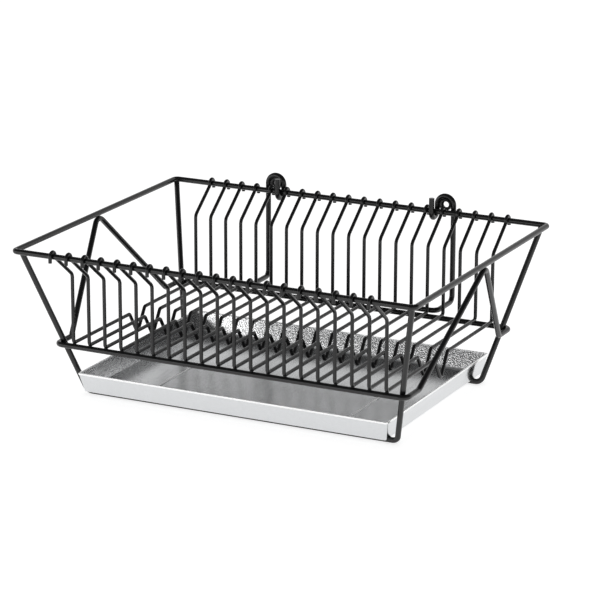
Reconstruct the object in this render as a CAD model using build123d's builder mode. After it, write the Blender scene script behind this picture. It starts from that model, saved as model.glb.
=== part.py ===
"""Dish drying rack: a welded wire basket with twenty plate slots, a wall bracket that hooks over its rear
rim, and a galvanised drip tray that slides between its legs.

Millimetres. +X runs along the rack to the right, +Y to the back, +Z up. The origin is on the floor, at the
middle of the whole part's box.
"""

from build123d import *
import os
from math import hypot, radians, sin, sqrt, tan

os.makedirs("parts", exist_ok=True)

# ---------------------------------------------------------------- wire stock
frame_d = 4.8  # rim, lower frame, legs and wall bracket
plate_d = 3.1  # the twenty plate wires
weld_sink = 0.12  # how far a welded wire sinks into its neighbour
free_gap = 0.3  # clearance between pieces that move apart
shortest_run = 0.01  # two bends nearer than this follow straight on

frame_r = frame_d / 2
plate_r = plate_d / 2

# ---------------------------------------------------------------- basket
rack_length = 370.0  # outside the rim
rim_depth = 283.3  # outside the rim, front to back
rim_height = 134.0  # rim wire's centre above the floor
rim_bend = 4.0
base_drop = 86.5  # from the rim's centre to the lower rails' centre
base_half_length = 162.3
base_half_depth = 107.8
base_bend = 6.0
strut_half_base = 83.1  # where the end struts leave the lower rail
strut_bend = 6.0
strut_apex_bend = 8.5

rim_half_length = rack_length / 2 - frame_r
rim_half_depth = rim_depth / 2 - frame_r
base_height = rim_height - base_drop

# ---------------------------------------------------------------- legs
foot_half_length = 145.4
foot_half_depth = 86.0
foot_bend = 6.0
leg_inset_x = 4.2  # the leg's end inside the rim's corner
leg_inset_y = 5.25
leg_drop = 0.9

# ---------------------------------------------------------------- plate wires
plate_count = 20
plate_pitch = 15.27
hook_tip_drop = 4.7  # below the rim's centre, on the outside
hook_neck_drop = 1.5
hook_neck_bend = 3.0
shoulder_inset = 31.0  # from the rim's centre line to the upright part
shoulder_drop = 22.75
shoulder_bend = 6.0
toe_bend = 3.0
notch_half_width = 13.4
notch_depth = 20.6  # to the corner of the bend's centre lines
notch_lip_bend = 2.5
notch_floor_bend = 2.5

# ---------------------------------------------------------------- wall bracket
eye_half_spacing = 83.2
eye_bend = 7.75  # to the wire's centre
eye_rise = 5.0  # the eye's centre above the rim's centre
bracket_back = 7.4  # the eyes' plane behind the rim's centre
hook_front = 5.2  # from the rail's middle forward to the hook's front limb
hook_front_bend = 5.2
hook_back_bend = 7.2
hook_rise = 12.9
hook_drop = 5.4
run_drop = 82.0  # the lower run below the rim's centre
run_bend = 6.0
disc_press = 0.08
disc_hole_d = 5.2
disc_lip = 1.7  # the cup's lip in front of the eye's plane
disc_floor = 1.2
disc_wall = 1.3
disc_edge = 0.5

# ---------------------------------------------------------------- drip tray
tray_half_length = 141.0  # across the outside of the base
tray_half_depth = 99.8
tray_shift = -0.85  # x of the middle of the tray as it stands on the leg wires
tray_flare_x = 3.2  # how far the top edge stands outside the base
tray_flare_y = 5.0
tray_height = 17.4
tray_sheet = 0.8
tray_corner = 1.6
tray_base_bend = 1.4
crease_half_spacing = 90.5  # the two pressed creases across the floor, front to back
crease_half_length = 96.5
crease_width = 1.8
crease_rise = 0.4
crease_slope = 45.0

# ---------------------------------------------------------------- worked out
hook_bend = frame_r + plate_r - weld_sink
front_reach = rim_half_depth + hook_bend + plate_r
back_reach = rim_half_depth + bracket_back + frame_r
# The part's box is centred on y = 0, so the rim's own middle lies a little in front of it.
rim_mid = (front_reach - back_reach) / 2
rim_back = rim_mid + rim_half_depth
eye_height = rim_height + eye_rise
eye_y = rim_back + bracket_back
plate_upright = rim_half_depth - shoulder_inset
# The bend at a plate wire's foot rests on the lower rail.
toe_offset = base_half_depth - (plate_upright - toe_bend)
toe_reach = frame_r + plate_r - weld_sink + toe_bend
plate_floor = base_height + sqrt(toe_reach**2 - toe_offset**2) - toe_bend
run_y = rim_mid + plate_upright + plate_r + frame_r + free_gap
run_height = rim_height - run_drop


def finish(piece, label):
    """Name a piece and write it."""
    piece.part.label = label
    export_step(piece.part, f"parts/{label}.step")


def bend_arc(before, corner, after, bend):
    """Start, middle and end of the round bend that replaces a corner."""
    back = (before - corner).normalized()
    ahead = (after - corner).normalized()
    half_angle = radians(back.get_angle(ahead)) / 2
    tangent = bend / tan(half_angle)
    inward = (back + ahead).normalized()
    middle = corner + inward * (bend / sin(half_angle) - bend)
    return corner + back * tangent, middle, corner + ahead * tangent


def bent_wire(label, corners, bends, diameter, close=False):
    """One round wire along straight runs, with a bend of the given radius at each corner."""
    points = [Vector(*corner) for corner in corners]
    if close:
        points = [points[-1], *points, points[0]]
    arcs = [bend_arc(*points[index : index + 3], bend) for index, bend in enumerate(bends)]
    run_starts = [points[0]] + [arc[2] for arc in arcs]
    run_ends = [arc[0] for arc in arcs] + [points[-1]]
    if close:
        run_starts = run_starts[1:]
        run_ends = run_ends[1:-1] + run_ends[:1]
        arcs = arcs[1:] + arcs[:1]
    with BuildPart() as wire:
        with BuildLine():
            for index, (start, end) in enumerate(zip(run_starts, run_ends)):
                if (end - start).length > shortest_run:
                    Line(start, end)
                if index < len(arcs):
                    ThreePointArc(*arcs[index])
        with BuildSketch(Plane(origin=run_starts[0], z_dir=run_ends[0] - run_starts[0])):
            Circle(diameter / 2)
        sweep()
    finish(wire, label)
    return wire


def top_rim():
    """The closed rectangle at the top."""
    corners = [
        (side_x * rim_half_length, rim_mid + side_y * rim_half_depth, rim_height)
        for side_x, side_y in ((-1, -1), (1, -1), (1, 1), (-1, 1))
    ]
    return bent_wire("top_rim", corners, [rim_bend] * len(corners), frame_d, close=True)


def lower_frame():
    """A rectangle whose two short sides rise to a strut apex under the rim's side rails."""
    apex_top = rim_height - frame_d + weld_sink
    lean_x = rim_half_length - base_half_length
    lean_z = apex_top - base_height
    slope = hypot(lean_x, lean_z)
    # The bend at the apex cuts its corner by this much, measured up the struts' plane.
    half_angle_sine = strut_half_base / hypot(strut_half_base, slope)
    cut = strut_apex_bend * (1 / half_angle_sine - 1)
    apex_x = rim_half_length + cut * lean_x / slope
    apex_z = apex_top + cut * lean_z / slope
    corners = []
    for side in (1, -1):
        corners += [
            (side * base_half_length, rim_mid - side * base_half_depth, base_height),
            (side * base_half_length, rim_mid - side * strut_half_base, base_height),
            (side * apex_x, rim_mid, apex_z),
            (side * base_half_length, rim_mid + side * strut_half_base, base_height),
            (side * base_half_length, rim_mid + side * base_half_depth, base_height),
        ]
    bends = [base_bend, strut_bend, strut_apex_bend, strut_bend, base_bend] * 2
    return bent_wire("lower_frame", corners, bends, frame_d, close=True)


def leg_wire(label, side):
    """Down from one rim corner, along the floor under the tray, and up to the other corner."""
    top_y = rim_mid + side * (rim_half_depth - leg_inset_y)
    foot_y = rim_mid + side * foot_half_depth
    top_x = rim_half_length - leg_inset_x
    corners = [
        (-top_x, top_y, rim_height - leg_drop),
        (-foot_half_length, foot_y, frame_r),
        (foot_half_length, foot_y, frame_r),
        (top_x, top_y, rim_height - leg_drop),
    ]
    return bent_wire(label, corners, [foot_bend, foot_bend], frame_d)


def plate_wire(number):
    """One thin wire across the basket, hooked over both long rails, with the plate notch in its middle."""
    x = (number - (plate_count + 1) / 2) * plate_pitch
    # Half of the wire as depth from the middle, height and bend, from the hook's tip to the notch.
    half = [
        (rim_half_depth + hook_bend, rim_height - hook_tip_drop, 0),
        (rim_half_depth + hook_bend, rim_height + hook_bend, hook_bend),
        (rim_half_depth - hook_bend, rim_height + hook_bend, hook_bend),
        (rim_half_depth - hook_bend, rim_height - hook_neck_drop, hook_neck_bend),
        (plate_upright, rim_height - shoulder_drop, shoulder_bend),
        (plate_upright, plate_floor, toe_bend),
        (notch_half_width, plate_floor, notch_lip_bend),
    ]
    notch = [(0, plate_floor - notch_depth, notch_floor_bend)]
    front = [(-depth, height, bend) for depth, height, bend in half]
    profile = front + notch + half[::-1]
    corners = [(x, rim_mid + depth, height) for depth, height, bend in profile]
    bends = [bend for depth, height, bend in profile[1:-1]]
    return bent_wire(f"plate_wire_{number:02d}", corners, bends, plate_d)


def bracket_wire():
    """J hook, eye, rod and half of the lower run, and the same again mirrored."""
    hook_x = eye_half_spacing - eye_bend
    rod_x = eye_half_spacing + eye_bend
    eye_top = eye_height + eye_bend
    half = [
        (hook_x, rim_back - hook_front, rim_height + hook_rise, 0),
        (hook_x, rim_back - hook_front, rim_height - hook_drop, hook_front_bend),
        (hook_x, eye_y, rim_height - hook_drop, hook_back_bend),
        (hook_x, eye_y, eye_top, eye_bend),
        (rod_x, eye_y, eye_top, eye_bend),
        (rod_x, eye_y, run_height, run_bend),
        (rod_x, run_y, run_height, run_bend),
    ]
    mirrored = [(-x, y, z, bend) for x, y, z, bend in half[::-1]]
    profile = half + mirrored
    corners = [(x, y, z) for x, y, z, bend in profile]
    bends = [bend for x, y, z, bend in profile[1:-1]]
    return bent_wire("bracket_wire", corners, bends, frame_d)


def screw_disc(label, side):
    """A cup washer pressed into an eye, its flat back on the wall and its hole for a wall screw."""
    outer = eye_bend - frame_r + disc_press
    inner = outer - disc_wall
    hole = disc_hole_d / 2
    floor_front = frame_r - disc_floor
    centre = Vector(side * eye_half_spacing, eye_y, eye_height)
    # The profile's first coordinate is the radius, its second the distance behind the eye's plane.
    section = Plane(origin=centre, x_dir=(1, 0, 0), z_dir=(0, 0, 1))
    with BuildPart() as disc:
        with BuildSketch(section):
            with BuildLine():
                Polyline(
                    (hole, frame_r),
                    (outer, frame_r),
                    (outer, disc_edge - disc_lip),
                    (outer - disc_edge, -disc_lip),
                    (inner, -disc_lip),
                    (inner - disc_edge, floor_front),
                    (hole, floor_front),
                    close=True,
                )
            make_face()
        revolve(axis=Axis(centre, (0, 1, 0)))
    finish(disc, label)
    return disc


def drip_tray():
    """A folded sheet tray with flared walls and two low creases across its floor."""
    base_z = frame_d + free_gap
    top_z = base_z + tray_height
    mouth_half_length = tray_half_length + tray_flare_x
    mouth_half_depth = tray_half_depth + tray_flare_y
    level = Plane(origin=(tray_shift, 0, 0), x_dir=(1, 0, 0), z_dir=(0, 0, 1))
    with BuildPart() as tray:
        with BuildSketch(level.offset(base_z)):
            RectangleRounded(2 * tray_half_length, 2 * tray_half_depth, tray_corner)
        with BuildSketch(level.offset(top_z)):
            RectangleRounded(2 * mouth_half_length, 2 * mouth_half_depth, tray_corner)
        loft()
        fillet(tray.faces().sort_by(Axis.Z)[0].edges(), tray_base_bend)
        floor_z = base_z + tray_sheet
        inner_corner = tray_corner - tray_sheet
        with BuildSketch(level.offset(floor_z)):
            RectangleRounded(
                2 * (tray_half_length - tray_sheet), 2 * (tray_half_depth - tray_sheet), inner_corner
            )
        with BuildSketch(level.offset(top_z)):
            RectangleRounded(
                2 * (mouth_half_length - tray_sheet), 2 * (mouth_half_depth - tray_sheet), inner_corner
            )
        loft(mode=Mode.SUBTRACT)
        # The flat faces from the bottom up are the underside, the inside floor and the top edge.
        inside_floor = tray.faces().filter_by(Axis.Z).sort_by(Axis.Z)[1]
        fillet(inside_floor.edges(), tray_base_bend - tray_sheet)
        with BuildSketch(level.offset(floor_z)):
            with Locations((-crease_half_spacing, 0), (crease_half_spacing, 0)):
                Rectangle(crease_width, 2 * crease_half_length)
        extrude(amount=crease_rise, taper=crease_slope)
    finish(tray, "drip_tray")
    return tray


top_rim()
lower_frame()
leg_wire("front_leg_wire", -1)
leg_wire("rear_leg_wire", 1)
for wire_number in range(1, plate_count + 1):
    plate_wire(wire_number)
bracket_wire()
screw_disc("screw_disc_left", -1)
screw_disc("screw_disc_right", 1)
drip_tray()
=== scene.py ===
"""Looks of the dish drying rack: black coated wire, two cup washers and a galvanised drip tray.

Metres, in the CAD's frame: +X along the rack to the right, +Y to the back, +Z up, the floor at z = 0.
"""

import math

import bmesh
import bpy
import numpy as np
from mathutils import Matrix, Vector


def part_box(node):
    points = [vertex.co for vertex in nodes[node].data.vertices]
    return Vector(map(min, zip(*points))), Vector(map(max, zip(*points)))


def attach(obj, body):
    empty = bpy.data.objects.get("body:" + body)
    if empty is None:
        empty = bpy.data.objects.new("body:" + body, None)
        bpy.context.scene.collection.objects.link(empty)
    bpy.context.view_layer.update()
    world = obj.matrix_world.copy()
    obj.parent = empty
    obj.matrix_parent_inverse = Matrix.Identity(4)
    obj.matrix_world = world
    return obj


MM = 0.001

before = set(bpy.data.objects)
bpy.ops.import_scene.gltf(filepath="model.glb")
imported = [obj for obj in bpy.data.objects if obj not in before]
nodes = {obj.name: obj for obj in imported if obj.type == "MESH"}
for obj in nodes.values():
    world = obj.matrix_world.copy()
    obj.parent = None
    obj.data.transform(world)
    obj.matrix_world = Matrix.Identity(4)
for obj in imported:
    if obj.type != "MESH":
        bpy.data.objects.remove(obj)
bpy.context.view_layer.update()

# ---------------------------------------------------------------- camera
CAMERA_AZIMUTH = 26.4374
CAMERA_ELEVATION = 16.4448
CAMERA_ROLL = 0.1458
CAMERA_DISTANCE = 2.46721
CAMERA_AIM = Vector((0.009768, 0.006285, 0.078531))
CAMERA_LENS = 173.795
SENSOR_WIDTH = 36.0
CLIP_NEAR = 0.05
CLIP_FAR = 50.0


def turned(azimuth, elevation):
    """Unit vector from the object towards a viewer at that azimuth and elevation, in degrees."""
    a = math.radians(azimuth)
    e = math.radians(elevation)
    return Vector((math.sin(a) * math.cos(e), -math.cos(a) * math.cos(e), math.sin(e)))


def add_camera():
    data = bpy.data.cameras.new("camera")
    camera = bpy.data.objects.new("camera", data)
    bpy.context.scene.collection.objects.link(camera)
    data.lens = CAMERA_LENS
    data.sensor_width = SENSOR_WIDTH
    data.clip_start = CLIP_NEAR
    data.clip_end = CLIP_FAR
    away = turned(CAMERA_AZIMUTH, CAMERA_ELEVATION)
    camera.location = CAMERA_AIM + away * CAMERA_DISTANCE
    rotation = (-away).to_track_quat("-Z", "Y").to_matrix().to_4x4()
    roll = Matrix.Rotation(math.radians(CAMERA_ROLL), 4, "Z")
    camera.matrix_world = Matrix.Translation(camera.location) @ rotation @ roll
    bpy.context.scene.camera = camera


# ---------------------------------------------------------------- studio
SWEEP_SIDE = (-0.44, 0.90, 0.0)
SWEEP_RISE = 0.45
CEILING = (0.13, 0.13, 0.13)
SOFTBOX_SIDE = (-0.62, -0.78, 0.0)
SOFTBOX_STRENGTH = 2.4
FLOOR_HALF = 40.0
FLOOR_GREY = 0.60
FLOOR_GLOW = 0.74
FLOOR_ROUGHNESS = 0.9
SUN_STRENGTH = 1.3
SUN_SPREAD = 100.0


# ---------------------------------------------------------------- node helpers
def new_material(name):
    material = bpy.data.materials.new(name)
    material.use_nodes = True
    tree = material.node_tree
    shader = tree.nodes["Principled BSDF"]
    return material, tree, shader


def node(tree, kind, **values):
    made = tree.nodes.new(kind)
    for key, value in values.items():
        if key in made.inputs:
            made.inputs[key].default_value = value
        else:
            setattr(made, key, value)
    return made


def ramp(tree, source, stops):
    made = tree.nodes.new("ShaderNodeValToRGB")
    elements = made.color_ramp.elements
    while len(elements) < len(stops):
        elements.new(0.5)
    for element, (position, value) in zip(elements, stops):
        element.position = position
        element.color = (value, value, value, 1.0) if not hasattr(value, "__len__") else (*value, 1.0)
    tree.links.new(source, made.inputs["Fac"])
    return made.outputs["Color"]


def wire_coat():
    """Black powder coat: satin, with a fine orange peel and uneven gloss."""
    material, tree, shader = new_material("wire_coat_black")
    link = tree.links.new
    where = node(tree, "ShaderNodeTexCoord").outputs["Object"]
    shader.inputs["IOR"].default_value = 1.5
    cloud = node(tree, "ShaderNodeTexNoise", Scale=70.0, Detail=3.0, Roughness=0.55)
    link(where, cloud.inputs["Vector"])
    link(ramp(tree, cloud.outputs["Fac"], ((0.3, (0.003, 0.003, 0.0033)), (0.7, (0.006, 0.006, 0.0064)))),
         shader.inputs["Base Color"])
    rough = node(tree, "ShaderNodeTexNoise", Scale=500.0, Detail=2.0)
    link(where, rough.inputs["Vector"])
    link(ramp(tree, rough.outputs["Fac"], ((0.35, 0.20), (0.65, 0.27))), shader.inputs["Roughness"])
    peel = node(tree, "ShaderNodeTexNoise", Scale=1500.0, Detail=2.0, Roughness=0.5)
    link(where, peel.inputs["Vector"])
    bump = node(tree, "ShaderNodeBump", Strength=0.25, Distance=0.00006)
    link(peel.outputs["Fac"], bump.inputs["Height"])
    link(bump.outputs["Normal"], shader.inputs["Normal"])
    return material


GRAIN_SCALE = 950.0
GRAIN_DEPTH = 0.00013


def tray_metal():
    """Galvanised sheet: on the inner walls only, a salt-and-pepper colour that is spangle grain with
    painted reflection speckle; a smoother floor, plain outside.
    """
    material, tree, shader = new_material("tray_galvanised")
    link = tree.links.new
    where = node(tree, "ShaderNodeTexCoord").outputs["Object"]
    shader.inputs["Metallic"].default_value = 1.0
    up = node(tree, "ShaderNodeSeparateXYZ")
    link(node(tree, "ShaderNodeNewGeometry").outputs["True Normal"], up.inputs["Vector"])
    # How much a face looks up: 0 on the outer walls, some on the inner ones, 1 on the floor.
    inner = ramp(tree, up.outputs["Z"], ((0.05, 0.0), (0.2, 1.0)))
    floor = ramp(tree, up.outputs["Z"], ((0.5, 0.0), (0.9, 1.0)))
    on_wall = node(tree, "ShaderNodeMath", operation="SUBTRACT", use_clamp=True)
    link(inner, on_wall.inputs[0])
    link(floor, on_wall.inputs[1])

    grain = node(tree, "ShaderNodeTexNoise", Scale=GRAIN_SCALE, Detail=1.0, Roughness=0.5)
    link(where, grain.inputs["Vector"])
    drawn = node(tree, "ShaderNodeMapping")
    drawn.inputs["Scale"].default_value = (1.0, 0.06, 1.0)
    link(where, drawn.inputs["Vector"])
    streak = node(tree, "ShaderNodeTexNoise", Scale=420.0, Detail=3.0)
    link(drawn.outputs["Vector"], streak.inputs["Vector"])

    sheet = ramp(tree, streak.outputs["Fac"], ((0.3, (0.665, 0.675, 0.685)), (0.7, (0.685, 0.695, 0.705))))
    # Painted reflection: the strong speckle colour goes only where a face looks slightly up, on the inner
    # walls; the grain under it is the sheet's own spangle.
    spangle_and_painted_speckle = ramp(tree, grain.outputs["Fac"], ((0.36, (0.46, 0.465, 0.47)), (0.60, (0.96, 0.965, 0.97))))
    tone = node(tree, "ShaderNodeMix", data_type="RGBA")
    link(on_wall.outputs["Value"], tone.inputs["Factor"])
    link(sheet, tone.inputs["A"])
    link(spangle_and_painted_speckle, tone.inputs["B"])
    link(tone.outputs["Result"], shader.inputs["Base Color"])

    polish = node(tree, "ShaderNodeMix", data_type="FLOAT")
    link(floor, polish.inputs["Factor"])
    link(ramp(tree, streak.outputs["Fac"], ((0.3, 0.10), (0.7, 0.15))), polish.inputs["A"])
    link(ramp(tree, streak.outputs["Fac"], ((0.3, 0.19), (0.7, 0.25))), polish.inputs["B"])
    link(polish.outputs["Result"], shader.inputs["Roughness"])

    strength = node(tree, "ShaderNodeMath", operation="MULTIPLY_ADD")
    link(on_wall.outputs["Value"], strength.inputs[0])
    strength.inputs[1].default_value = 0.96
    strength.inputs[2].default_value = 0.04
    bump = node(tree, "ShaderNodeBump", Distance=GRAIN_DEPTH)
    link(strength.outputs["Value"], bump.inputs["Strength"])
    link(grain.outputs["Fac"], bump.inputs["Height"])
    link(bump.outputs["Normal"], shader.inputs["Normal"])
    return material


def painted_highlight_metal(name, metallic):
    """The same sheet made near white as a painted highlight on bends and rims: lighter, half matt, finely
    scratched.
    """
    material, tree, shader = new_material(name)
    link = tree.links.new
    where = node(tree, "ShaderNodeTexCoord").outputs["Object"]
    shader.inputs["Metallic"].default_value = metallic
    highlight_mottle = node(tree, "ShaderNodeTexNoise", Scale=160.0, Detail=4.0, Roughness=0.6)
    link(where, highlight_mottle.inputs["Vector"])
    # Painted highlight: a mottled near-white colour, so the edges shine brighter than the sheet.
    link(ramp(tree, highlight_mottle.outputs["Fac"], ((0.3, (0.93, 0.935, 0.94)), (0.6, (0.99, 0.99, 0.99)))),
         shader.inputs["Base Color"])
    link(ramp(tree, highlight_mottle.outputs["Fac"], ((0.3, 0.30), (0.7, 0.22))), shader.inputs["Roughness"])
    scratch = node(tree, "ShaderNodeTexNoise", Scale=1800.0, Detail=2.0)
    link(where, scratch.inputs["Vector"])
    bump = node(tree, "ShaderNodeBump", Strength=0.3, Distance=0.00005)
    link(scratch.outputs["Fac"], bump.inputs["Height"])
    link(bump.outputs["Normal"], shader.inputs["Normal"])
    return material


def disc_plastic():
    """Matt dark plastic."""
    material, tree, shader = new_material("disc_plastic_black")
    link = tree.links.new
    where = node(tree, "ShaderNodeTexCoord").outputs["Object"]
    cloud = node(tree, "ShaderNodeTexNoise", Scale=300.0, Detail=3.0)
    link(where, cloud.inputs["Vector"])
    link(ramp(tree, cloud.outputs["Fac"], ((0.3, (0.010, 0.010, 0.011)), (0.7, (0.018, 0.018, 0.019)))),
         shader.inputs["Base Color"])
    link(ramp(tree, cloud.outputs["Fac"], ((0.3, 0.38), (0.7, 0.5))), shader.inputs["Roughness"])
    bump = node(tree, "ShaderNodeBump", Strength=0.2, Distance=0.00006)
    grain = node(tree, "ShaderNodeTexNoise", Scale=2200.0, Detail=2.0)
    link(where, grain.inputs["Vector"])
    link(grain.outputs["Fac"], bump.inputs["Height"])
    link(bump.outputs["Normal"], shader.inputs["Normal"])
    return material


# ---------------------------------------------------------------- stage
def add_floor():
    half = FLOOR_HALF
    corners = [(-half, -half, 0), (half, -half, 0), (half, half, 0), (-half, half, 0)]
    mesh = bpy.data.meshes.new("floor")
    mesh.from_pydata(corners, [], [(0, 1, 2, 3)])
    floor = bpy.data.objects.new("floor", mesh)
    bpy.context.scene.collection.objects.link(floor)
    material, tree, shader = new_material("floor_white")
    shader.inputs["Base Color"].default_value = (FLOOR_GREY, FLOOR_GREY, FLOOR_GREY, 1.0)
    shader.inputs["Roughness"].default_value = FLOOR_ROUGHNESS
    shader.inputs["Specular IOR Level"].default_value = 0.0
    shader.inputs["Emission Color"].default_value = (1.0, 1.0, 1.0, 1.0)
    shader.inputs["Emission Strength"].default_value = FLOOR_GLOW
    mesh.materials.append(material)


def add_world():
    """A white sweep behind the object, a dark ceiling, a white horizon and a softbox at the front left."""
    world = bpy.data.worlds.new("studio")
    bpy.context.scene.world = world
    world.use_nodes = True
    tree = world.node_tree
    link = tree.links.new
    background = tree.nodes["Background"]
    direction = node(tree, "ShaderNodeTexCoord").outputs["Generated"]
    height = node(tree, "ShaderNodeSeparateXYZ")
    link(direction, height.inputs["Vector"])
    behind = node(tree, "ShaderNodeVectorMath", operation="DOT_PRODUCT")
    link(direction, behind.inputs[0])
    behind.inputs[1].default_value = SWEEP_SIDE
    lift = node(tree, "ShaderNodeMath", operation="MULTIPLY", use_clamp=True)
    link(behind.outputs["Value"], lift.inputs[0])
    lift.inputs[1].default_value = SWEEP_RISE
    left = node(tree, "ShaderNodeMath", operation="SUBTRACT")
    link(height.outputs["Z"], left.inputs[0])
    link(lift.outputs["Value"], left.inputs[1])
    room = ramp(tree, left.outputs["Value"], ((0.16, (1.0, 1.0, 1.0)), (0.27, CEILING)))
    front = node(tree, "ShaderNodeVectorMath", operation="DOT_PRODUCT")
    link(direction, front.inputs[0])
    front.inputs[1].default_value = SOFTBOX_SIDE
    across = ramp(tree, front.outputs["Value"], ((0.92, 0.0), (0.955, 1.0)))
    upward = ramp(tree, height.outputs["Z"], ((0.25, 1.0), (0.34, 0.0)))
    softbox = node(tree, "ShaderNodeMath", operation="MULTIPLY")
    link(across, softbox.inputs[0])
    link(upward, softbox.inputs[1])
    dimmed = node(tree, "ShaderNodeMix", data_type="RGBA", blend_type="MULTIPLY", Factor=1.0)
    link(room, dimmed.inputs["A"])
    link(ramp(tree, height.outputs["Z"], ((0.08, 1.0), (0.25, 0.78))), dimmed.inputs["B"])
    lit = node(tree, "ShaderNodeMix", data_type="RGBA", clamp_result=False)
    link(softbox.outputs["Value"], lit.inputs["Factor"])
    link(dimmed.outputs["Result"], lit.inputs["A"])
    lit.inputs["B"].default_value = (SOFTBOX_STRENGTH, SOFTBOX_STRENGTH, SOFTBOX_STRENGTH, 1.0)
    link(lit.outputs["Result"], background.inputs["Color"])
    background.inputs["Strength"].default_value = 1.0


# ---------------------------------------------------------------- build
looks = {
    "wire_coat": wire_coat(),
    "tray_metal": tray_metal(),
    "disc_plastic": disc_plastic(),
}
# Painted highlights: a bright sheet for the hem, a half-metallic one for the crease crests and wall-foot
# strips.
rim_highlight_look = painted_highlight_metal("tray_rim_painted_highlight", 1.0)
bend_highlight_look = painted_highlight_metal("tray_bend_painted_highlight", 0.25)


def slot_of(name):
    if name.startswith("screw_disc"):
        return "disc_plastic"
    if name == "drip_tray":
        return "tray_metal"
    return "wire_coat"


for name, obj in nodes.items():
    obj.data.materials.clear()
    obj.data.materials.append(looks[slot_of(name)])

# ---------------------------------------------------------------- mesh helpers
FRAME_RADIUS = 2.4 * MM


def surface(name, verts, faces, slot, body, material=None):
    """A smooth-shaded piece from plain lists, riding on a body."""
    mesh = bpy.data.meshes.new(name)
    mesh.from_pydata([tuple(v) for v in verts], [], faces)
    mesh.validate()
    tidy = bmesh.new()
    tidy.from_mesh(mesh)
    bmesh.ops.recalc_face_normals(tidy, faces=tidy.faces)
    tidy.to_mesh(mesh)
    tidy.free()
    mesh.polygons.foreach_set("use_smooth", [True] * len(mesh.polygons))
    piece = bpy.data.objects.new(name, mesh)
    bpy.context.scene.collection.objects.link(piece)
    mesh.materials.append(material or looks[slot])
    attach(piece, body)
    return piece


def add_tube(verts, faces, path, radius, sides=8, pinch=False):
    """Adds a tube along a path. pinch narrows it towards its two ends."""
    first = len(verts)
    count = len(path)
    for index, point in enumerate(path):
        before = path[index - 1] if index else path[index]
        after = path[index + 1] if index < count - 1 else path[index]
        along = (after - before).normalized()
        side = along.cross(Vector((0.0, 0.0, 1.0)))
        if side.length < 0.2:
            side = along.cross(Vector((0.0, 1.0, 0.0)))
        side.normalize()
        top = side.cross(along)
        size = radius * (math.sin(math.pi * (index + 0.25) / (count - 0.5)) ** 0.5 if pinch else 1.0)
        for step in range(sides):
            angle = 2 * math.pi * step / sides
            verts.append(point + (side * math.cos(angle) + top * math.sin(angle)) * size)
    for ring in range(count - 1):
        a = first + ring * sides
        b = a + sides
        for step in range(sides):
            after = (step + 1) % sides
            faces.append((a + step, a + after, b + after, b + step))
    faces.append(tuple(first + step for step in range(sides)))
    faces.append(tuple(first + (count - 1) * sides + step for step in range(sides)))


def flat_ends(obj):
    """Centre, outward direction and radius of each flat cut end of a wire."""
    mesh = obj.data
    groups = {}
    for face in mesh.polygons:
        normal = face.normal
        key = tuple(round(v, 3) for v in (*normal, normal.dot(face.center) * 100))
        groups.setdefault(key, []).append(face)
    ends = []
    for faces in groups.values():
        if len(faces) < 6:
            continue
        points = np.array([mesh.vertices[i].co for face in faces for i in face.vertices])
        points = np.unique(points.round(6), axis=0)
        centre = (points.min(0) + points.max(0)) / 2
        radius = np.linalg.norm(points - centre, axis=1).max()
        if radius < 1.2 * FRAME_RADIUS:
            ends.append((Vector(centre), faces[0].normal.copy(), float(radius)))
    return ends


def add_dome(verts, faces, centre, normal, radius, rise, sides=24, rings=6):
    """A rounded cap on a cut end."""
    side = normal.orthogonal().normalized()
    other = normal.cross(side)
    first = len(verts)
    for ring in range(rings):
        lift = math.pi / 2 * ring / rings
        for step in range(sides):
            angle = 2 * math.pi * step / sides
            out = (side * math.cos(angle) + other * math.sin(angle)) * radius * math.cos(lift)
            verts.append(centre + out + normal * rise * math.sin(lift))
    verts.append(centre + normal * rise)
    for ring in range(rings - 1):
        a = first + ring * sides
        for step in range(sides):
            after = (step + 1) % sides
            faces.append((a + step, a + after, a + sides + after, a + sides + step))
    last = first + (rings - 1) * sides
    for step in range(sides):
        faces.append((last + step, last + (step + 1) % sides, first + rings * sides))
    faces.append(tuple(first + step for step in reversed(range(sides))))


def add_bead(verts, faces, centre, size, lean=0.0, sides=16, rings=8):
    """A weld nugget: a low rounded lump with half sizes along X, Y and Z, leaning about X."""
    first = len(verts)
    turn = Matrix.Rotation(lean, 3, "X")
    for ring in range(1, rings):
        polar = math.pi * ring / rings
        for step in range(sides):
            angle = 2 * math.pi * step / sides
            point = Vector((size[0] * math.sin(polar) * math.cos(angle),
                            size[1] * math.sin(polar) * math.sin(angle),
                            size[2] * math.cos(polar)))
            verts.append(centre + turn @ point)
    verts.append(centre + turn @ Vector((0, 0, size[2])))
    verts.append(centre + turn @ Vector((0, 0, -size[2])))
    top = len(verts) - 2
    for ring in range(rings - 2):
        a = first + ring * sides
        for step in range(sides):
            after = (step + 1) % sides
            faces.append((a + step, a + after, a + sides + after, a + sides + step))
    last = first + (rings - 2) * sides
    for step in range(sides):
        after = (step + 1) % sides
        faces.append((top, first + after, first + step))
        faces.append((top + 1, last + step, last + after))


# ---------------------------------------------------------------- details
CUT_RISE = 0.35 * MM
HEM_THICK = 1.3 * MM
HEM_TALL = 1.5 * MM
HEM_ROUND = 0.2 * MM
HEM_ABOVE = 0.1 * MM
HEM_INSET = 0.4 * MM
TRAY_CORNER = 1.6 * MM
BEAD_SIZE = (1.75 * MM, 1.5 * MM, 0.75 * MM)
BEAD_LEAN = 0.38
BEAD_INWARD = 0.37 * FRAME_RADIUS
BEAD_UP = 0.93 * FRAME_RADIUS
FILLET_RADIUS = 0.42 * MM
FILLET_STANDOFF = 0.22 * MM
FILLET_FLANK = 0.85 * MM
FILLET_START = -20.0
FILLET_SWEEP = 220.0
FILLET_STEPS = 12
CREST_RADIUS = 0.62 * MM
CREST_RISE = 0.1 * MM
CREST_HALF_STEPS = 10
STRIP_SHORT = 1.2 * MM
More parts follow.
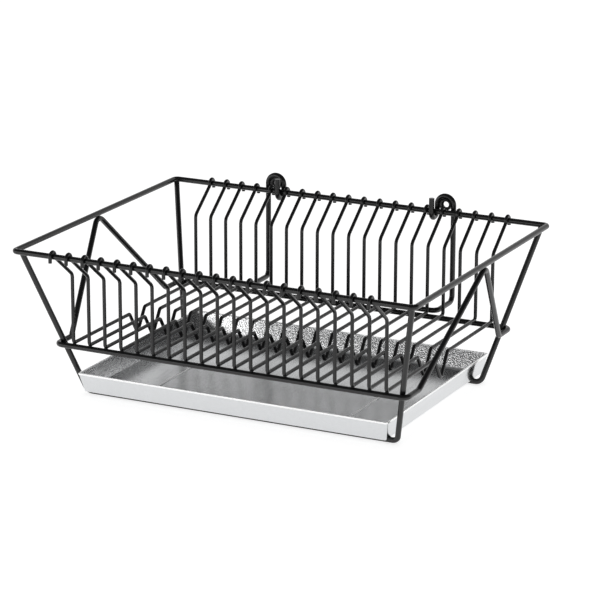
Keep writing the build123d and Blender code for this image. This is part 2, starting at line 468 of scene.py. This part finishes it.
# Millimetres inward from the wall and up from the floor.
STRIP_SECTION = ((-0.1, 0.05), (0.22, 0.05), (0.26, 0.35), (0.26, 0.85), (0.2, 1.1), (-0.1, 1.25))
SHEET = 0.8 * MM
CREASE_SPACING = 90.5 * MM
CREASE_HALF = 96.5 * MM
FLARE_X = 3.2 * MM
FLARE_Y = 5.0 * MM


def plate_names():
    return sorted(name for name in nodes if name.startswith("plate_wire"))


def wire_tips():
    """Low caps of coating on the cut ends of the two leg wires. The other wires' ends stay flat."""
    verts, faces = [], []
    for name in ("front_leg_wire", "rear_leg_wire"):
        for centre, normal, radius in flat_ends(nodes[name]):
            add_dome(verts, faces, centre, normal, radius, CUT_RISE)
    surface("rack_wire_tips", verts, faces, "wire_coat", "rack")


def weld_fillets():
    """The coating drawn into the creases where a plate wire meets the lower and the long rim rails."""
    verts, faces = [], []
    rim_low, rim_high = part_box("top_rim")
    base_low, base_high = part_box("lower_frame")
    rim_z = (rim_low.z + rim_high.z) / 2
    base_z = base_low.z + FRAME_RADIUS
    middle = (rim_low.y + rim_high.y) / 2
    rim_y = (rim_high.y - rim_low.y) / 2 - FRAME_RADIUS
    base_y = (base_high.y - base_low.y) / 2 - FRAME_RADIUS
    for name in plate_names():
        low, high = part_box(name)
        x = (low.x + high.x) / 2
        for side in (-1, 1):
            contact = Vector((x, middle + side * (base_y - BEAD_INWARD), base_z + BEAD_UP))
            add_bead(verts, faces, contact, BEAD_SIZE, lean=side * BEAD_LEAN)
            rail = Vector((x, middle + side * rim_y, rim_z))
            for flank in (-1, 1):
                beside = Vector((flank * FILLET_FLANK, 0, 0))
                arc = []
                for step in range(FILLET_STEPS + 1):
                    angle = math.radians(FILLET_START + FILLET_SWEEP * step / FILLET_STEPS)
                    out = Vector((0.0, math.cos(angle), math.sin(angle)))
                    arc.append(rail + out * (FRAME_RADIUS + FILLET_STANDOFF) + beside)
                add_tube(verts, faces, arc, FILLET_RADIUS, pinch=True)
    surface("weld_fillets", verts, faces, "wire_coat", "rack")


def ring_path(low, high, z, inset, corner, steps=6):
    """Points round a rectangle with round corners, anticlockwise from its +X +Y corner."""
    path = []
    for quarter, (side_x, side_y) in enumerate(((1, 1), (-1, 1), (-1, -1), (1, -1))):
        centre = Vector(((high.x if side_x > 0 else low.x) - side_x * (inset + corner),
                         (high.y if side_y > 0 else low.y) - side_y * (inset + corner), z))
        for step in range(steps + 1):
            angle = math.radians(90 * quarter + 90 * step / steps)
            path.append((centre, Vector((math.cos(angle), math.sin(angle), 0.0))))
    return path


def tray_hem():
    """The edge around the tray's mouth, folded over into a narrow upright band."""
    low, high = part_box("drip_tray")
    corner = TRAY_CORNER
    half = HEM_THICK / 2
    # The band's section, anticlockwise: distance outside its middle, height above its middle.
    section = []
    for turn, (side_x, side_z) in enumerate(((1, 1), (-1, 1), (-1, -1), (1, -1))):
        for step in range(4):
            angle = math.radians(90 * turn + 30 * step)
            section.append((side_x * (half - HEM_ROUND) + HEM_ROUND * math.cos(angle),
                            side_z * (HEM_TALL / 2 - HEM_ROUND) + HEM_ROUND * math.sin(angle)))
    verts, faces = [], []
    count = len(section)
    path = ring_path(low, high, high.z + HEM_ABOVE - HEM_TALL / 2, HEM_INSET, corner)
    for centre, out in path:
        for across, up in section:
            verts.append(centre + out * (corner + across) + Vector((0, 0, up)))
    for ring in range(len(path)):
        a = ring * count
        b = (ring + 1) % len(path) * count
        for step in range(count):
            after = (step + 1) % count
            faces.append((a + step, b + step, b + after, a + after))
    # The band wears the painted-highlight sheet: its brighter colour stands in for the light its rounded
    # edge catches.
    surface("tray_hem", verts, faces, "tray_metal", "tray", rim_highlight_look)


def add_strip(verts, faces, mid_x, half, mid_y, side, foot, lean, floor):
    """A band along the foot of a long wall, lying on its slope, that carries a painted highlight. Its
    section is a thin lens.
    """
    first = len(verts)
    count = len(STRIP_SECTION)
    for x in (mid_x - half, mid_x + half):
        for inward, up in STRIP_SECTION:
            depth = foot + up * MM * lean - inward * MM
            verts.append(Vector((x, mid_y + side * depth, floor + up * MM)))
    for step in range(count):
        after = (step + 1) % count
        faces.append((first + step, first + after, first + count + after, first + count + step))
    faces.append(tuple(first + step for step in range(count)))
    faces.append(tuple(first + count + step for step in reversed(range(count))))


def tray_lines():
    """Painted highlights: crests along the two creases of the floor and strips along the bends at the feet
    of the long walls.
    """
    low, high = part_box("drip_tray")
    middle = (low + high) / 2
    floor = low.z + SHEET
    verts, faces = [], []
    for side in (-1, 1):
        x = middle.x + side * CREASE_SPACING
        path = []
        for step in range(2 * CREST_HALF_STEPS + 1):
            y = middle.y + CREASE_HALF * (step / CREST_HALF_STEPS - 1)
            path.append(Vector((x, y, floor + CREST_RISE)))
        add_tube(verts, faces, path, CREST_RADIUS, sides=12)
        half = high.x - middle.x - FLARE_X - SHEET - STRIP_SHORT
        foot = high.y - middle.y - FLARE_Y - SHEET
        lean = FLARE_Y / (high.z - low.z)
        add_strip(verts, faces, middle.x, half, middle.y, side, foot, lean, floor)
    # Crests and strips wear the half-metallic painted-highlight sheet.
    surface("tray_crease_lines", verts, faces, "tray_metal", "tray", bend_highlight_look)


def add_sun():
    """A very wide light from above that leaves no highlight of its own."""
    sun = bpy.data.lights.new("overhead", "SUN")
    sun.energy = SUN_STRENGTH
    sun.angle = math.radians(SUN_SPREAD)
    overhead = bpy.data.objects.new("overhead", sun)
    bpy.context.scene.collection.objects.link(overhead)
    overhead.visible_glossy = False


wire_tips()
weld_fillets()
tray_hem()
tray_lines()
add_camera()
add_floor()
add_world()
add_sun()
bpy.context.scene.view_settings.view_transform = "Standard"
